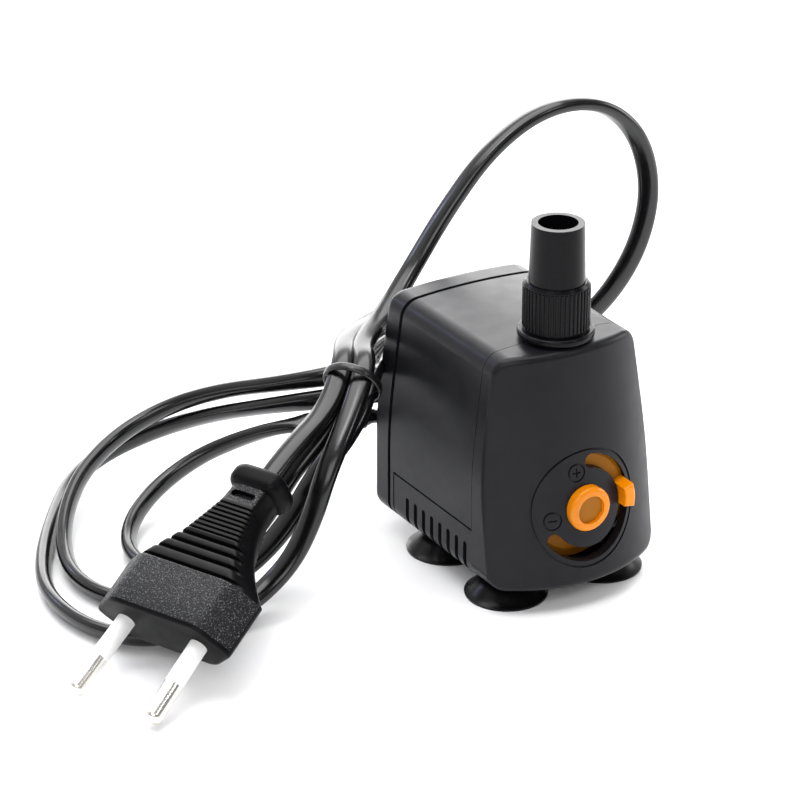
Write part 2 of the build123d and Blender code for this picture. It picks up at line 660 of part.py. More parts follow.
def make_strain_relief(cord):
    """A tapered rubber sleeve that is clamped in the rear cover, with grip rings."""
    x, z = GLAND
    body = rod_y(GLAND_RADIUS, REAR_SEAM + 4, REAR + 0.5, x, z)
    body += rod_y(GLAND_COLLAR, REAR, REAR + 1.6, x, z)
    body += rod_y(GLAND_COLLAR - 0.2, REAR - WALL - 1.4, REAR - WALL, x, z)
    taper = Cone(GLAND_RADIUS - 0.1, GLAND_TIP, GLAND_OUT - 1)
    body += Pos(x, REAR + 1 + (GLAND_OUT - 1) / 2, z) * Rot(-90, 0, 0) * taper
    for i in range(5):
        y = REAR + 4.6 + 3.0 * i
        body -= rod_y(6, y, y + 1.2, x, z) - rod_y(GLAND_TIP + 0.15 - 0.02 * i, y - 1, y + 3, x, z)
    bore = rod_y(CORE_SPREAD + CORE_RADIUS + 0.05, REAR_SEAM + 3, CORD_START + 0.5, x, z)
    return one(body - cord - bore)


def make_cord_tie():
    """A moulded band closed round the strands."""
    axis = Vector(*TIE_AXIS).normalized()
    outer, inner = TIE_RADIUS, TIE_RADIUS - 1.2
    ring = Cylinder(outer, TIE_WIDTH) - Cylinder(inner, TIE_WIDTH + 2)
    return one(Plane(origin=TIE_AT, z_dir=axis) * ring)


# ---------------------------------------------------------------- plug

def plug_plan():
    """The plug seen from above: a slab whose sides sweep in to the neck and its end flange."""
    half, neck, end = PLUG_HALF[0], PLUG_NECK_HALF[0], PLUG_END_HALF[0]
    right = [(half, 0), (half, PLUG_SLAB)]
    sweep_in = Spline((half, PLUG_SLAB), (9.6, 22.0), (neck, PLUG_NECK), tangents=[(-1, 0.75), (-0.1, 1)])
    outline = Polyline(*right) + sweep_in
    outline += Polyline((neck, PLUG_NECK), (end, PLUG_NECK + 0.8), (end, PLUG_END), (0, PLUG_END))
    outline += mirror(outline, Plane.YZ) + Line((-half, 0), (half, 0))
    return make_face(outline.edges())


def plug_side():
    """The plug seen from its side, on the YZ plane."""
    half, neck, end = PLUG_HALF[1], PLUG_NECK_HALF[1], PLUG_END_HALF[1]
    points = [(0, half), (PLUG_SLAB, half), (PLUG_NECK, neck), (PLUG_NECK + 0.8, end), (PLUG_END, end)]
    mirrored = [(y, -z) for y, z in reversed(points)]
    return Plane.YZ * make_face(Polyline(*points, *mirrored, points[0]).edges())


def plug_pin(side, radius, y0, y1):
    """A length of a pin along its slightly converging axis."""
    lean = degrees(atan((PIN_SPREAD - PIN_TIP_SPREAD) / PIN_LENGTH))
    pin = Pos(0, (y0 + y1) / 2, 0) * Rot(90, 0, 0) * Cylinder(radius, y1 - y0)
    return Pos(side * PIN_SPREAD, 0, 0) * Rot(0, 0, side * lean) * pin


def make_plug_body():
    body = extrude(plug_plan(), PLUG_HALF[1], both=True) & extrude(plug_side(), 30, both=True)
    wide, rim, high = PLUG_HALF[0], PLUG_RIM_HALF, PLUG_HALF[1]
    corners = [(-wide, 0), (-rim, high), (rim, high), (wide, 0), (rim, -high), (-rim, -high)]
    face = fillet(make_face(Polyline(*corners, corners[0]).edges()).vertices(), 1.6)
    body &= extrude(Plane.XZ.offset(5) * face, -60)
    for i in range(8):
        y = PLUG_SLAB + 5.4 + 2.1 * i
        ridge = block(-20, 20, y, y + 0.8, -20, 20)
        reach = PLUG_HALF[1] - (PLUG_HALF[1] - PLUG_NECK_HALF[1]) * (y - PLUG_SLAB) / (PLUG_NECK - PLUG_SLAB)
        body -= ridge - block(-20, 20, y - 1, y + 2, -reach + 0.5, reach - 0.5)
    for side in (-1, 1):
        body -= plug_pin(side, PIN_CORE, -1, PIN_ROOT)
    return one(body)


def make_plug_pin(side):
    tip = plug_pin(side, PIN_RADIUS, -PIN_LENGTH, -SLEEVE_LENGTH)
    tip = fillet(tip.edges().sort_by(Axis.Y)[0], 1.2)
    return one(tip + plug_pin(side, PIN_CORE, -SLEEVE_LENGTH - 0.5, PIN_ROOT))


def make_plug_sleeve(side):
    """The insulating sleeve from the pin's bare tip to the plug's face."""
    tube = plug_pin(side, PIN_RADIUS, -SLEEVE_LENGTH, 1) - plug_pin(side, PIN_CORE, -30, 10)
    return one(tube - block(-30, 30, 0, 5, -10, 10))


def build_pump():
    parts = {
        "motor_housing": make_motor_housing(),
        "rear_cover": make_rear_cover(),
        "rear_seal": make_rear_seal(),
        "front_cover": make_front_cover(),
        "intake_tray": make_intake_tray(),
        "pump_chamber": make_pump_chamber(),
        "chamber_seal": make_chamber_seal(),
        "impeller": make_impeller(),
        "rotor_magnet": make_rotor_magnet(),
        "rotor_shaft": make_rotor_shaft(),
        "front_bush": make_front_bush(),
        "rear_bush": make_rear_bush(),
        "outlet_adaptor": make_outlet_adaptor(),
        "outlet_o_ring": make_outlet_o_ring(),
        "regulator": make_regulator(),
        "stator_core": make_stator_core(),
        "thermal_fuse": make_thermal_fuse(),
    }
    places = {"left": -1, "right": 1}
    for name, side in places.items():
        parts["coil_bobbin_" + name] = make_coil_bobbin(side)
        parts["coil_winding_" + name] = make_coil_winding(side)
    for row, y in zip(("front", "rear"), CUP_Y):
        for name, side in places.items():
            parts[f"suction_cup_{row}_{name}"] = make_suction_cup(side * CUP_X, y)
    cord = make_power_cord()
    parts["strain_relief"] = make_strain_relief(cord)
    for name, side in places.items():
        parts["lead_wire_" + name] = make_lead_wire(side)
        parts["plug_pin_" + name] = plug_place() * make_plug_pin(side)
        parts["plug_sleeve_" + name] = plug_place() * make_plug_sleeve(side)
    buried = [node for node in parts if node.startswith(("coil", "stator", "thermal", "lead_wire"))]
    parts["potting_resin"] = make_potting_resin([parts[node] for node in buried])
    parts["power_cord"] = cord
    parts["cord_tie"] = make_cord_tie()
    parts["plug_body"] = one(plug_place() * make_plug_body() - cord)
    return parts


if __name__ == "__main__":
    os.makedirs("parts", exist_ok=True)
    for node, solid in build_pump().items():
        export_step(solid, f"parts/{node}.step")
        print(node, solid.is_valid, round(solid.volume, 1))
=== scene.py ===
"""Looks of the fountain pump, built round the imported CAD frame.  Metres, +Z up."""
import json
from math import atan2, cos, exp, pi, radians, sin

import bpy
from mathutils import Matrix, Vector

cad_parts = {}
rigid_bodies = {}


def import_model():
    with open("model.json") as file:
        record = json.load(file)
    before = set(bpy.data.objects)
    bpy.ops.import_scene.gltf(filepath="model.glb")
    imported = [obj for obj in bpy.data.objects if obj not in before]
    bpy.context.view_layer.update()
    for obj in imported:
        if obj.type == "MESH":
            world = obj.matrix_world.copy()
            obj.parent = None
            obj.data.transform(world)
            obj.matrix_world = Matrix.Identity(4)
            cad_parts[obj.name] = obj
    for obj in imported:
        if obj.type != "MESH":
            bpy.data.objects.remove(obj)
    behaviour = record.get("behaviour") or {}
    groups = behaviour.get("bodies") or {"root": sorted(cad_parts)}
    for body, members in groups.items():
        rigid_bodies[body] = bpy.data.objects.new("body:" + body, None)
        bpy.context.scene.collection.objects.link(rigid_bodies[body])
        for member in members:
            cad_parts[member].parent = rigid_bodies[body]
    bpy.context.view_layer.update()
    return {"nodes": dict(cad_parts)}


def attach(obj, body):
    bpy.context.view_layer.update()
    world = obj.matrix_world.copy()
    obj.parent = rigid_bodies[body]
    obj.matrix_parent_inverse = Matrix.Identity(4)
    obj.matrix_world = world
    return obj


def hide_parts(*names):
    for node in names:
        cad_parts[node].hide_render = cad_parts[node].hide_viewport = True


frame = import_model()
nodes = frame["nodes"]
scene = bpy.context.scene


# ---------------------------------------------------------------- small helpers

def mm(*values):
    """Millimetres to a point in metres."""
    return Vector([v / 1000 for v in values])


def link(obj):
    scene.collection.objects.link(obj)
    return obj


def mesh_object(name, vertices, faces):
    mesh = bpy.data.meshes.new(name)
    mesh.from_pydata([tuple(v) for v in vertices], [], faces)
    mesh.validate()
    for polygon in mesh.polygons:
        polygon.use_smooth = True
    return link(bpy.data.objects.new(name, mesh))


def loft(name, rings, closed_path=False):
    """A skin over rings of equally many points, with flat ends unless the path is closed."""
    count = len(rings[0])
    vertices = [point for ring in rings for point in ring]
    faces = []
    for i in range(len(rings) if closed_path else len(rings) - 1):
        a, b = i * count, (i + 1) % len(rings) * count
        faces += [(a + j, a + (j + 1) % count, b + (j + 1) % count, b + j) for j in range(count)]
    if not closed_path:
        faces += [tuple(reversed(range(count))), tuple(range(len(vertices) - count, len(vertices)))]
    return mesh_object(name, vertices, faces)


# ---------------------------------------------------------------- the mains lead

LEAD_WIDTH = 4.9          # flat two-core lead, in millimetres
LEAD_THICK = 3.2
LEAD_SIDES = 20
LEAD_SQUARE = 2.5         # how square its rounded section is; 2 is an ellipse
BEND_REACH = 7            # in points of the smooth line, for measuring its bend
TWIST_REACH = 30          # and for smoothing its twist

# How strongly a hint turns the lead's broad side, and how far from its place it is felt, in metres
TIE_HINT = (3.0, 0.008)
PLUG_HINT = (6.0, 0.012)
EXIT_HINT = (6.0, 0.01)
ARCH_HINT = (2.0, 0.012)
LOOP_HINT = (0.6, 0.012)

TIE_AT = (-32.8, 16.8, 41.0)
TIE_AXIS = (0.62, 0.55, 0.56)
TIE_PITCH = (2.5, 2.4)    # from the bundle's middle to a strand's, across and up
TIE_HALF = (6.2, 5.9)     # the band's own half size, across and up
TIE_FORWARD = 1.3
TIE_TILT = 0.5
BAND_HALF_WIDTH = 0.9
BAND_HALF_THICK = 0.42

PLUG_FACE = (-92.5, -9.7, 11.35)
PLUG_HEADING = -65.8
PLUG_PITCH = 28.6
PLUG_END = 41.0

ARCH = [
    (8, 25, 14), (8, 37.5, 14.35), (8, 50, 14), (15, 59, 13.5), (28, 63, 14), (41, 60, 17),
    (50, 53, 23), (55.3, 46, 34), (59.7, 42, 47), (61.4, 41, 61), (56.8, 41, 75), (45.7, 41, 84),
    (31, 41, 85), (17, 41, 78), (5, 40, 66), (-4, 39, 55), (-14, 34, 48), (-25, 26, 46)]

OUTER_LOOP = [
    (-46, 4.5, 30), (-49.5, 4.5, 20), (-54, 5, 11), (-61.5, 5, 5), (-71, 3, 2.5), (-81, 2, 2.5),
    (-90, 4, 2.5), (-96, 11, 2.5), (-99, 21, 2.5), (-98.5, 34, 2.5), (-93, 47, 2.7), (-84, 61, 3.3),
    (-74, 74, 4), (-63, 79.5, 6.5), (-51, 75.5, 11.5), (-42, 65, 17.5), (-34.5, 51, 23.5),
    (-26, 40, 27.5), (-13, 35, 28.5), (1, 33, 28), (14, 34, 28)]
OUTER_RETURN = [(3, 46, 35), (-7, 38.3, 38.3), (-18.5, 30.5, 38.3)]

MIDDLE_LOOP = [
    (-46, 9, 27), (-51, 11, 17), (-59, 13, 8), (-70, 14, 2.5), (-80, 16, 2.5), (-87.5, 22, 2.5),
    (-91, 33, 2.7), (-88.5, 46, 3.5), (-82, 58, 6.5), (-73.5, 67, 10), (-62, 72.5, 14), (-50, 71, 19),
    (-40.5, 62.5, 24.2), (-32, 49.5, 29), (-24, 40.5, 32.5), (-12, 38, 33.8), (1, 37.2, 33.4),
    (13, 37, 34)]
MIDDLE_RETURN = [(4, 52.9, 33.8), (-6, 44.6, 37), (-17.5, 35.7, 40.6)]

INNER_LOOP = [
    (-49, 15, 26), (-54, 17, 16), (-60.5, 18.5, 8.5), (-69, 21.5, 3.8), (-75, 28, 2.7), (-76, 37, 2.7),
    (-73.5, 45, 3), (-68.5, 51.5, 4.5), (-60, 56.5, 7.5), (-50.5, 56, 12.5), (-42, 50.5, 17.5),
    (-34.5, 42, 22.5), (-25, 35, 24), (-12, 35, 22.5), (3, 37.5, 21.5), (16, 38.5, 21), (27, 40, 22),
    (37, 46.5, 23.5), (41, 57.5, 25), (35, 68, 27), (23.5, 70, 29.5), (12, 63.5, 33), (3, 56, 37.5),
    (-7, 45.5, 41.8), (-17.5, 36.3, 45.2), (-26.5, 30.5, 45.8)]


def hairpin(x, y, radius, first, last, z0, z1, runs=6):
    """Points of a rising half turn of the lead, at even angles round (x, y)."""
    points = []
    for i in range(runs + 1):
        a = radians(first + (last - first) * i / runs)
        points.append((x + radius * cos(a), y + radius * sin(a), z0 + (z1 - z0) * i / runs))
    return points


def tie_frame():
    """The tie's centre, its axis, and the directions across and up, all for millimetres."""
    axis = Vector(TIE_AXIS).normalized()
    side = Vector((axis.y, -axis.x, 0)).normalized()
    return Vector(TIE_AT), axis, side, side.cross(axis)


def through_tie(across, up):
    """The two route points of a strand that passes through the tie, from above it to below it."""
    centre, axis, side, rise = tie_frame()
    centre = centre + side * (across * TIE_PITCH[0]) + rise * (up * TIE_PITCH[1])
    return [tuple(centre + axis * 5), tuple(centre - axis * 7)]


def plug_place():
    """Where the plug's own axes lie: X across it, Y back from its face, Z out of its top."""
    turn = Matrix.Rotation(radians(PLUG_HEADING), 4, "Z") @ Matrix.Rotation(radians(PLUG_PITCH), 4, "X")
    return Matrix.Translation(mm(*PLUG_FACE)) @ turn


def on_plug(y):
    """A point on the plug's long axis, y millimetres behind its front face."""
    return tuple(1000 * v for v in plug_place() @ mm(0, y, 0))


def lead_route():
    """The lead's route in millimetres, from inside the rear cover to inside the plug."""
    return [*ARCH, *through_tie(1, 1),
            *OUTER_LOOP, *hairpin(24, 46.5, 13.5, -75, 150, 27.8, 28.2), *OUTER_RETURN, *through_tie(1, -1),
            *MIDDLE_LOOP, *hairpin(26, 51, 13.7, -80, 150, 34.2, 32.2), *MIDDLE_RETURN, *through_tie(-1, -1),
            *INNER_LOOP, *through_tie(-1, 1),
            on_plug(PLUG_END + 8), on_plug(PLUG_END - 3)]


def smooth_line(points):
    """The points along a NURBS spline that has these control points."""
    data = bpy.data.curves.new("route", "CURVE")
    data.dimensions = "3D"
    spline = data.splines.new("NURBS")
    spline.points.add(len(points) - 1)
    for target, point in zip(spline.points, points):
        target.co = (*point, 1)
    spline.order_u = 3
    spline.use_endpoint_u = True
    spline.resolution_u = 12
    carrier = link(bpy.data.objects.new("route", data))
    bpy.context.view_layer.update()
    mesh = bpy.data.meshes.new_from_object(carrier)
    line = [v.co.copy() for v in mesh.vertices]
    for block, item in ((bpy.data.objects, carrier), (bpy.data.curves, data), (bpy.data.meshes, mesh)):
        block.remove(item)
    return line


def wide_directions(line, hints):
    """Which way the lead's broad side lies: it bends the easy way, and follows each hint near its place."""
    last = len(line) - 1
    reach, width = BEND_REACH, TWIST_REACH
    tangents = [(line[min(i + 1, last)] - line[max(i - 1, 0)]).normalized() for i in range(last + 1)]
    normal = tangents[0].orthogonal().normalized()
    frames = []
    for tangent in tangents:
        normal = (normal - tangent * normal.dot(tangent)).normalized()
        frames.append((normal, tangent.cross(normal)))
    doubled = []          # at twice the angle, since half a turn brings a flat lead back to itself
    for i, (across, over) in enumerate(frames):
        bend = tangents[min(i + reach, last)] - tangents[max(i - reach, 0)]
        wish = tangents[i].cross(bend)
        weight = wish.length
        for place, direction, strength, spread in hints:
            away = (line[i] - place).length
            if away < 3 * spread:
                pull = strength * exp(-(away / spread) ** 2)
                if wish.dot(direction) < 0:
                    direction = -direction
                wish = wish + direction * pull
                weight += pull
        angle = 2 * atan2(wish.dot(over), wish.dot(across))
        doubled.append((weight * cos(angle), weight * sin(angle)))
    kernel = [exp(-(k / (0.5 * width)) ** 2) for k in range(-width, width + 1)]
    directions = []
    turned = None
    for i, (across, over) in enumerate(frames):
        span = range(max(i - width, 0), min(i + width, last) + 1)
        x = sum(doubled[j][0] * kernel[j - i + width] for j in span)
        y = sum(doubled[j][1] * kernel[j - i + width] for j in span)
        angle = atan2(y, x) / 2
        if turned is not None:
            angle += pi * round((turned - angle) / pi)
        turned = angle
        directions.append(across * cos(angle) + over * sin(angle))
    return tangents, directions


def power(value, exponent):
    return abs(value) ** exponent * (1 if value > 0 else -1)


def make_lead():
    line = smooth_line([mm(*p) for p in lead_route()])
    _, _, side, _ = tie_frame()
    plug_across = plug_place().to_3x3() @ Vector((1, 0, 0))
    hints = [(mm(*p), side, *TIE_HINT) for a in (1, -1) for b in (1, -1) for p in through_tie(a, b)]
    hints.append((mm(*on_plug(PLUG_END)), plug_across, *PLUG_HINT))
    hints.append((mm(8, 38, 14), Vector((1, 0, 0)), *EXIT_HINT))
    hints += [(mm(*p), Vector((0.83, -0.55, 0)), *ARCH_HINT) for p in ARCH[8:11]]
    hints += [(mm(*p), Vector((0, 1, 0)), *ARCH_HINT) for p in ARCH[11:16]]
    toward_front = Vector((-0.55, -0.75, 0.55))
    on_loops = OUTER_LOOP[6:14] + MIDDLE_LOOP[6:14] + INNER_LOOP[4:10]
    hints += [(mm(*p), toward_front, *LOOP_HINT) for p in on_loops]
    tangents, wides = wide_directions(line, hints)
    rings = []
    for point, tangent, wide in zip(line, tangents, wides):
        thin = tangent.cross(wide)
        ring = []
        for k in range(LEAD_SIDES):
            a = 2 * pi * k / LEAD_SIDES
            x = power(cos(a), 2 / LEAD_SQUARE) * LEAD_WIDTH / 2000
            y = power(sin(a), 2 / LEAD_SQUARE) * LEAD_THICK / 2000
            ring.append(point + wide * x + thin * y)
        rings.append(ring)
    lead = loft("power_lead", rings)
    length = sum((b - a).length for a, b in zip(line, line[1:]))
    return lead, line, length


def make_tie():
    """A soft band closed round the four strands, a little flattened, with rounded edges."""
    centre, axis, side, rise = tie_frame()
    across, up = TIE_HALF
    centre = centre + axis * TIE_FORWARD
    rings = []
    for i in range(72):
        a = 2 * pi * i / 72
        out = (side * cos(a) * up + rise * sin(a) * across).normalized()
        middle = centre + side * (cos(a) * across) + rise * (sin(a) * up)
        middle += axis * (TIE_TILT * sin(a - 0.6))
        ring = []
        for k in range(12):
            b = 2 * pi * k / 12
            along, outward = power(cos(b), 0.6) * BAND_HALF_WIDTH, power(sin(b), 0.8) * BAND_HALF_THICK
            ring.append((middle + (axis * along + out * outward)) / 1000)
        rings.append(ring)
    return loft("tie_band", rings, closed_path=True)


# ---------------------------------------------------------------- the plug

SLAB = 12.5               # where the full-width slab ends, behind the plug's face
NECK = 36.0               # where the neck ends and the flange begins
SLAB_HALF = 17.65
NECK_HALF = 5.0
SWEEP = 2.2               # how sharply the sides sweep in
RIB_PITCH = 1.15
RIBS = 8
RIBS_END = 31.4
STAIRS = [SLAB, 15.5, 18.0, 20.3, 22.3]


def rounded_section(corners, cut, steps=4):
    """A closed outline through the corners, each one rounded off by cut along its edges."""
    points = []
    count = len(corners)
    for i in range(count):
        before, here, after = (Vector(corners[(i + d) % count]) for d in (-1, 0, 1))
        a = here + (before - here) * min(cut / (before - here).length, 0.48)
        b = here + (after - here) * min(cut / (after - here).length, 0.48)
        for k in range(steps + 1):
            t = k / steps
            points.append(a * (1 - t) ** 2 + here * (2 * t * (1 - t)) + b * t ** 2)
    return points


def blend_table(table, y):
    """Straight-line value at y in a list of (y, value) pairs."""
    for (y0, v0), (y1, v1) in zip(table, table[1:]):
        if y <= y1:
            return v0 + (v1 - v0) * max(y - y0, 0) / (y1 - y0)
    return table[-1][1]


def half_width(y):
    """The plug's half width: full over the slab, then sweeping in to the neck."""
    if y <= SLAB:
        return SLAB_HALF
    return NECK_HALF + (SLAB_HALF - NECK_HALF) * max(1 - (y - SLAB) / (NECK - SLAB), 0) ** SWEEP


# Against y: the half width of the flat top, the half thickness, how far the flange stands out, and how
# much the edges are rounded off.
PLATEAU = [
    (0, 11.0), (SLAB, 11.0), (15.5, 9.6), (18, 8.5), (20.3, 7.4), (22.3, 6.4), (31.5, 4.1), (NECK, 4.0)]
BACK = [(0, 6.85), (SLAB, 6.85), (NECK, 4.25)]
FLANGE = [
    (NECK, 0.1), (36.25, 0.9), (36.7, 1.5), (37.6, 1.85), (39.2, 1.85), (40.2, 1.5), (40.8, 0.8),
    (PLUG_END, -0.2)]
ROUNDING = [(0, 1.9), (SLAB, 1.9), (16, 1.3), (NECK, 1.2)]


def plug_stations():
    """(y, rounding, cut) along the plug: rounded face, slab, stair steps, fine ribs and the flat neck."""
    stations = [
        (0, 0.75, 0.0), (0.08, 0.4, 0.0), (0.3, 0.15, 0.0), (0.8, 0, 0.0), (6, 0, 0.0), (11.9, 0, 0.0),
        (12.3, 0, 0.05), (12.5, 0, 0.25)]
    for start, end in zip(STAIRS, STAIRS[1:]):
        stations += [(start + 0.06, 0, 2.2), (start + 1.0, 0, 2.1), (start + 1.12, 0, 0.72),
                     (start + 1.3, 0, 0.6), (end - 0.3, 0, 0.42), (end - 0.05, 0, 0.5)]
    for i in range(RIBS):
        start = STAIRS[-1] + RIB_PITCH * i
        stations += [(start + 0.05, 0, 1.2), (start + 0.4, 0, 1.15), (start + 0.5, 0, 0.35),
                     (start + RIB_PITCH - 0.12, 0, 0.3)]
    stations += [(31.6, 0, 0.35), (33.5, 0, 0.3), (35.6, 0, 0.2)]
    return stations


def make_plug():
    place = plug_place()
    rings = []

    def add(y, wide, rim, high, cut, drop=0):
        rim += (wide - rim) * drop / high
        high -= drop
        corners = [(wide, 0), (rim, high), (-rim, high), (-wide, 0), (-rim, -high), (rim, -high)]
        rings.append([place @ mm(p.x, y, p.y) for p in rounded_section(corners, cut)])

    for y, face, drop in plug_stations():
        cut = blend_table(ROUNDING, y)
        rim, high = blend_table(PLATEAU, y) - 0.6 * face, blend_table(BACK, y) - face
        add(y, half_width(y) - face, rim, high, cut, drop)
    for y, grow in FLANGE:
        add(y, NECK_HALF + grow, 4.3 + 0.8 * grow, 4.1 + 0.55 * grow, 2.2)
    plug = loft("plug_moulding", rings)
    plug.data.update()
    cut_slot(plug, place)
    return plug


def cut_slot(plug, place):
    """The elongated blind hole in the neck's flat top."""
    half_length, radius, y = 2.1, 0.85, 33.6
    floor, above = 2.6, 8.0
    outline = []
    for k in range(24):
        a = 2 * pi * (k + 0.5) / 24
        outline.append((radius * cos(a) + (half_length if cos(a) > 0 else -half_length), radius * sin(a)))
    rings = [[place @ mm(x, y + dy, z) for x, dy in outline] for z in (floor, above)]
    cutter = loft("slot_cutter", rings)
    modifier = plug.modifiers.new("slot", "BOOLEAN")
    modifier.operation, modifier.solver, modifier.object = "DIFFERENCE", "EXACT", cutter
    bpy.context.view_layer.update()
    shaped = bpy.data.meshes.new_from_object(plug.evaluated_get(bpy.context.evaluated_depsgraph_get()))
    plug.modifiers.clear()
    plug.data = shaped
    bpy.data.objects.remove(cutter)


# ---------------------------------------------------------------- materials

class Looks:
    """A node tree built up by short calls, ending in one Principled shader."""

    def __init__(self, name, colour, roughness, **sockets):
        self.material = bpy.data.materials.new(name)
        self.material.use_nodes = True
        self.tree = self.material.node_tree
        self.shader = self.tree.nodes["Principled BSDF"]
        self.shader.inputs["Base Color"].default_value = (*colour, 1)
        self.shader.inputs["Roughness"].default_value = roughness
        for socket, value in sockets.items():
            self.shader.inputs[socket.replace("_", " ")].default_value = value
        self.place = self.tree.nodes.new("ShaderNodeTexCoord").outputs["Object"]

    def node(self, kind, **settings):
        node = self.tree.nodes.new("ShaderNode" + kind)
        for key, value in settings.items():
            if key in node.inputs:
                node.inputs[key].default_value = value
            else:
                setattr(node, key, value)
        return node

    def join(self, output, socket):
        self.tree.links.new(output, socket)

    def noise(self, scale, detail=2.0, rough=0.5):
        node = self.node("TexNoise", Scale=scale, Detail=detail, Roughness=rough)
        self.join(self.place, node.inputs["Vector"])
        return node.outputs["Fac"]

    def spread(self, value, low, high, start=0.35, end=0.65):
        """The noise between start and end, mapped to low and high."""
        node = self.node("MapRange")
        for key, number in {"From Min": start, "From Max": end, "To Min": low, "To Max": high}.items():
            node.inputs[key].default_value = number
        self.join(value, node.inputs["Value"])
        return node.outputs["Result"]

    def shade(self, value, dark, light, start=0.35, end=0.65):
        """The noise drives the colour from dark to light."""
        ramp = self.node("ValToRGB")
        ramp.color_ramp.elements[0].position = start
        ramp.color_ramp.elements[1].position = end
        ramp.color_ramp.elements[0].color = (*dark, 1)
        ramp.color_ramp.elements[1].color = (*light, 1)
        self.join(value, ramp.inputs["Fac"])
        self.join(ramp.outputs["Color"], self.shader.inputs["Base Color"])

    def roughen(self, value, low, high, start=0.35, end=0.65):
        self.join(self.spread(value, low, high, start, end), self.shader.inputs["Roughness"])

    def bump(self, value, depth, strength=1.0):
        """Raises the surface by up to depth metres; calls add up."""
        node = self.node("Bump", Strength=strength, Distance=depth)
        self.join(value, node.inputs["Height"])
        normal = self.shader.inputs["Normal"]
        if normal.is_linked:
            self.join(normal.links[0].from_socket, node.inputs["Normal"])
        self.join(node.outputs["Normal"], normal)


def moulded(name, colour, roughness, grain=0.00001, scale=9000, **sockets):
    """Injection-moulded plastic: fine grain, faint flow marks and uneven gloss."""
    look = Looks(name, colour, roughness, **sockets)
    light = tuple(c * 1.12 for c in colour)
    dark = tuple(c * 0.9 for c in colour)
    look.shade(look.noise(90, 3), dark, light)
    look.roughen(look.noise(260, 4), roughness - 0.04, roughness + 0.04)
    look.bump(look.noise(scale, 2, 0.6), grain)
    look.bump(look.noise(140, 2), 0.00001, 0.3)
    return look.material


def spark_with_painted_glints(name):
    """Spark-eroded black plastic, with pale spots painted into its colour as glints."""
    look = Looks(name, (0.01, 0.01, 0.011), 0.45, Specular_IOR_Level=0.22)
    # pale spots painted into the base colour stand in for glints of light
    painted_glints = look.noise(3600, 1, 0.4)
    look.shade(painted_glints, (0.004, 0.004, 0.005), (0.12, 0.12, 0.125), 0.54, 0.76)
    look.roughen(look.noise(1700, 2), 0.3, 0.6)
    look.bump(look.noise(3000, 2, 0.7), 0.00012, 0.9)
    return look.material


charcoal = moulded("charcoal_plastic", (0.008, 0.008, 0.0102), 0.32, grain=0.000003, scale=6000,
                    Specular_IOR_Level=0.17)
outlet_black = moulded("outlet_black", (0.003, 0.003, 0.0038), 0.22, Specular_IOR_Level=0.12)
seal_black = moulded("seal_rubber", (0.003, 0.003, 0.003), 0.6, Specular_IOR_Level=0.2)
orange_gloss = moulded("orange_gloss", (0.74, 0.22, 0.0008), 0.16, grain=0.000001, Specular_IOR_Level=0.3)
# darker matt orange: painted shade for the hub's sunk middle and the disc deep behind the slot
matt_orange_painted_shade = moulded("matt_orange_painted_shade", (0.34, 0.125, 0.004), 0.6, grain=0.00001, Specular_IOR_Level=0.2)
cup_rubber = moulded("cup_rubber", (0.0025, 0.0025, 0.003), 0.3, grain=0.000004, Specular_IOR_Level=0.2)
lead_pvc = moulded("lead_pvc", (0.003, 0.003, 0.0035), 0.2, grain=0.000003, scale=5000)
tie_pvc = moulded("tie_pvc", (0.006, 0.006, 0.0065), 0.26, grain=0.000004)
plug_smooth = moulded("plug_smooth", (0.003, 0.003, 0.0035), 0.34, grain=0.000008, Specular_IOR_Level=0.07)
plug_ribs = moulded("plug_ribs", (0.004, 0.004, 0.004), 0.5, grain=0.00002, Specular_IOR_Level=0.18)
plug_painted_glints = spark_with_painted_glints("plug_spark_glints_painted")
sleeve_white = moulded("sleeve_white", (0.85, 0.85, 0.84), 0.4)
nickel = moulded("pin_nickel", (0.84, 0.81, 0.76), 0.24, grain=0.000003, Metallic=1.0)
steel = moulded("shaft_steel", (0.6, 0.6, 0.6), 0.25, Metallic=1.0)
lamination = moulded("stator_steel", (0.3, 0.3, 0.31), 0.45, Metallic=1.0)
copper = moulded("copper_wire", (0.6, 0.22, 0.08), 0.3, Metallic=1.0)
ferrite = moulded("ferrite", (0.04, 0.04, 0.042), 0.5)
natural_white = moulded("natural_plastic", (0.75, 0.73, 0.68), 0.4)
resin = moulded("cast_resin", (0.03, 0.03, 0.034), 0.2)

FINISH = {
    "motor_housing": charcoal, "rear_cover": charcoal, "front_cover": charcoal, "intake_tray": charcoal,
    "outlet_adaptor": outlet_black, "pump_chamber": outlet_black, "rear_seal": seal_black,
    "chamber_seal": seal_black, "outlet_o_ring": seal_black, "regulator": orange_gloss,
    "impeller": natural_white, "rotor_magnet": ferrite, "rotor_shaft": steel, "front_bush": seal_black,
    "rear_bush": seal_black, "stator_core": lamination, "thermal_fuse": natural_white, "potting_resin": resin,
    "strain_relief": cup_rubber, "power_cord": lead_pvc, "cord_tie": tie_pvc, "plug_body": plug_smooth,
    "coil_bobbin": natural_white, "coil_winding": copper, "suction_cup": cup_rubber, "lead_wire": lead_pvc,
    "plug_pin": nickel, "plug_sleeve": sleeve_white,
}
for name, node in nodes.items():
    material = next(look for key, look in FINISH.items() if name.startswith(key))
    node.data.materials.clear()
    node.data.materials.append(material)


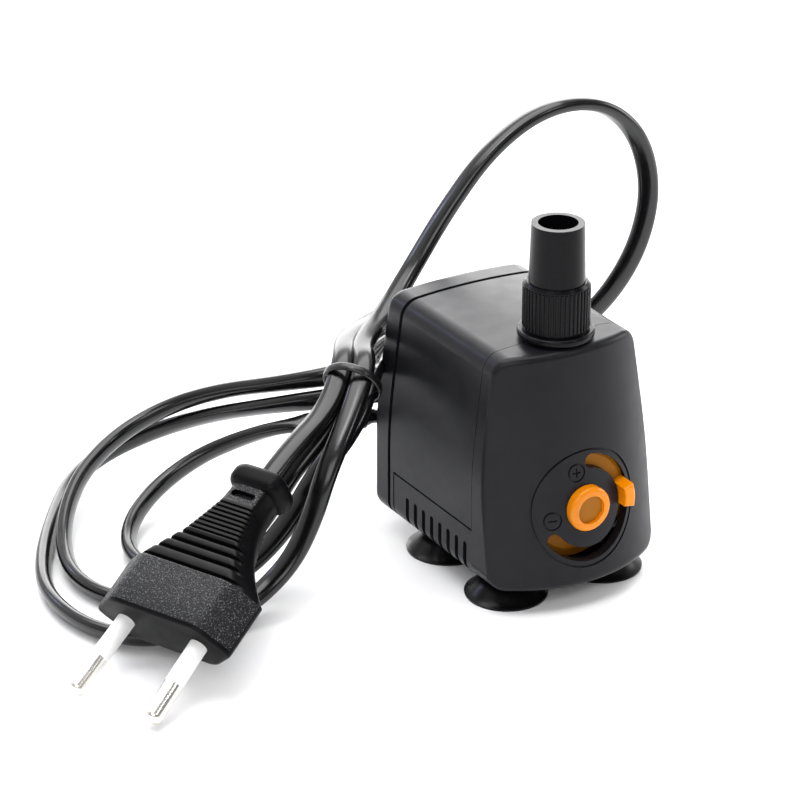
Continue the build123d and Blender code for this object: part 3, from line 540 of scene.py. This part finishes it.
def finish_plug(plug):
    """Smooth on the face and sides, matt on the ribs, spark-eroded with painted glints on the slab and the
    neck's flat.
    """
    plug.data.materials.clear()
    plug.data.materials.append(plug_smooth)
    plug.data.materials.append(plug_painted_glints)
    plug.data.materials.append(plug_ribs)
    back = plug_place().inverted()
    turn = back.to_3x3()
    for polygon in plug.data.polygons:
        middle, facing = 1000 * (back @ polygon.center), turn @ polygon.normal
        on_slab = 0.7 < middle.y < SLAB and abs(facing.z) > 0.3
        on_neck = RIBS_END < middle.y < NECK and abs(facing.z) > 0.7
        on_ribs = SLAB <= middle.y <= RIBS_END and abs(middle.z) > 0.3 and abs(facing.x) < 0.5
        polygon.material_index = 2 if on_ribs else int(on_slab or on_neck)
        polygon.use_smooth = True
    plug.data.set_sharp_from_angle(angle=radians(32))


DIAL_AXIS_Z = 22.3
HUB_RECESS = 3.0          # the radius of the hub's sunk middle
HUB_FLOOR = -25.9         # y of its floor
DIAL_DISC = -22.0         # y just in front of the disc


def dial_matt_and_shade(dial):
    """The sunk middle of the hub and the disc behind the slot are matt, and a darker orange as painted shade.
    """
    dial.data.materials.append(matt_orange_painted_shade)
    for polygon in dial.data.polygons:
        middle = dial.matrix_world @ polygon.center
        from_axis = Vector((middle.x, middle.z - DIAL_AXIS_Z / 1000)).length
        sunk = from_axis < HUB_RECESS / 1000 and middle.y < HUB_FLOOR / 1000
        behind = middle.y > DIAL_DISC / 1000
        # these deep faces take the darker orange as painted shade
        polygon.material_index = int(sunk or behind)


dial_matt_and_shade(nodes["regulator"])
lead, lead_line, lead_length = make_lead()
lead.data.materials.append(lead_pvc)
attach(lead, "pump")
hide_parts("power_cord")
tie = make_tie()
tie.data.materials.append(tie_pvc)
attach(tie, "pump")
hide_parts("cord_tie")
plug = make_plug()
finish_plug(plug)
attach(plug, "pump")
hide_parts("plug_body")
on_lead = [plug, tie, nodes["strain_relief"]]
on_lead += [nodes[f"plug_{part}_{side}"] for part in ("pin", "sleeve") for side in ("left", "right")]


# ---------------------------------------------------------------- floor, light, camera

def make_floor():
    size = 6.0
    corners = [(-size, -size, 0), (size, -size, 0), (size, size, 0), (-size, size, 0)]
    floor = mesh_object("floor", corners, [(0, 1, 2, 3)])
    look = Looks("floor_white", (0.93, 0.93, 0.94), 0.5, Specular_IOR_Level=0.1)
    look.shade(look.noise(3, 2), (0.92, 0.92, 0.93), (0.94, 0.94, 0.945))
    floor.data.materials.append(look.material)


def area_light(name, place, aim, width, height, radiance, colour=(1, 1, 1)):
    """A soft panel; its power follows from its size and how bright it looks."""
    data = bpy.data.lights.new(name, "AREA")
    data.shape = "RECTANGLE"
    data.size, data.size_y, data.color = width, height, colour
    data.energy = radiance * pi * width * height
    light = link(bpy.data.objects.new(name, data))
    light.location = place
    light.rotation_euler = (Vector(aim) - Vector(place)).to_track_quat("-Z", "Y").to_euler()


def make_world(front, back):
    """A pale studio that is dimmer in front of the object than behind it."""
    world = bpy.data.worlds.new("studio")
    world.use_nodes = True
    tree = world.node_tree
    split = tree.nodes.new("ShaderNodeSeparateXYZ")
    tree.links.new(tree.nodes.new("ShaderNodeTexCoord").outputs["Generated"], split.inputs["Vector"])
    ramp = tree.nodes.new("ShaderNodeMapRange")
    for key, number in {"From Min": -0.3, "From Max": 0.5, "To Min": front, "To Max": back}.items():
        ramp.inputs[key].default_value = number
    tree.links.new(split.outputs["Y"], ramp.inputs["Value"])
    tree.links.new(ramp.outputs["Result"], tree.nodes["Background"].inputs["Strength"])
    tree.nodes["Background"].inputs["Color"].default_value = (1, 1, 1, 1)
    scene.world = world


def make_camera():
    data = bpy.data.cameras.new("photo_view")
    data.lens, data.sensor_width, data.clip_start = 142.3, 36.0, 0.01
    camera = link(bpy.data.objects.new("photo_view", data))
    camera.location = (-0.3387, -0.5130, 0.3243)
    aim = Vector((-0.0312, -0.0008, 0.0449))
    camera.rotation_euler = (aim - camera.location).to_track_quat("-Z", "Y").to_euler()
    scene.camera = camera


make_floor()
make_world(0.25, 1.1)
centre = Vector((0, 0, 0.04))
area_light("top_softbox", (0.0, 0.15, 0.9), centre, 0.9, 0.9, 4.0)
area_light("back_panel", (0.6, 1.1, 0.5), centre, 1.4, 0.8, 5.2)
area_light("right_panel", (1.1, -0.15, 0.35), centre, 0.5, 0.5, 4.5)
area_light("front_fill", (-0.7, -0.9, 0.8), centre, 0.9, 0.7, 3.2)
area_light("key_spot", (0.45, -0.75, 0.75), centre, 0.14, 0.14, 16)
area_light("edge_strip", (-0.25, -0.1, 0.85), mm(-80, 0, 10), 0.1, 0.3, 9)
area_light("blue_window", (-0.42, 0.8, 0.5), centre, 0.1, 0.16, 8, (0.55, 0.6, 1.0))
make_camera()
scene.view_settings.view_transform = "Standard"
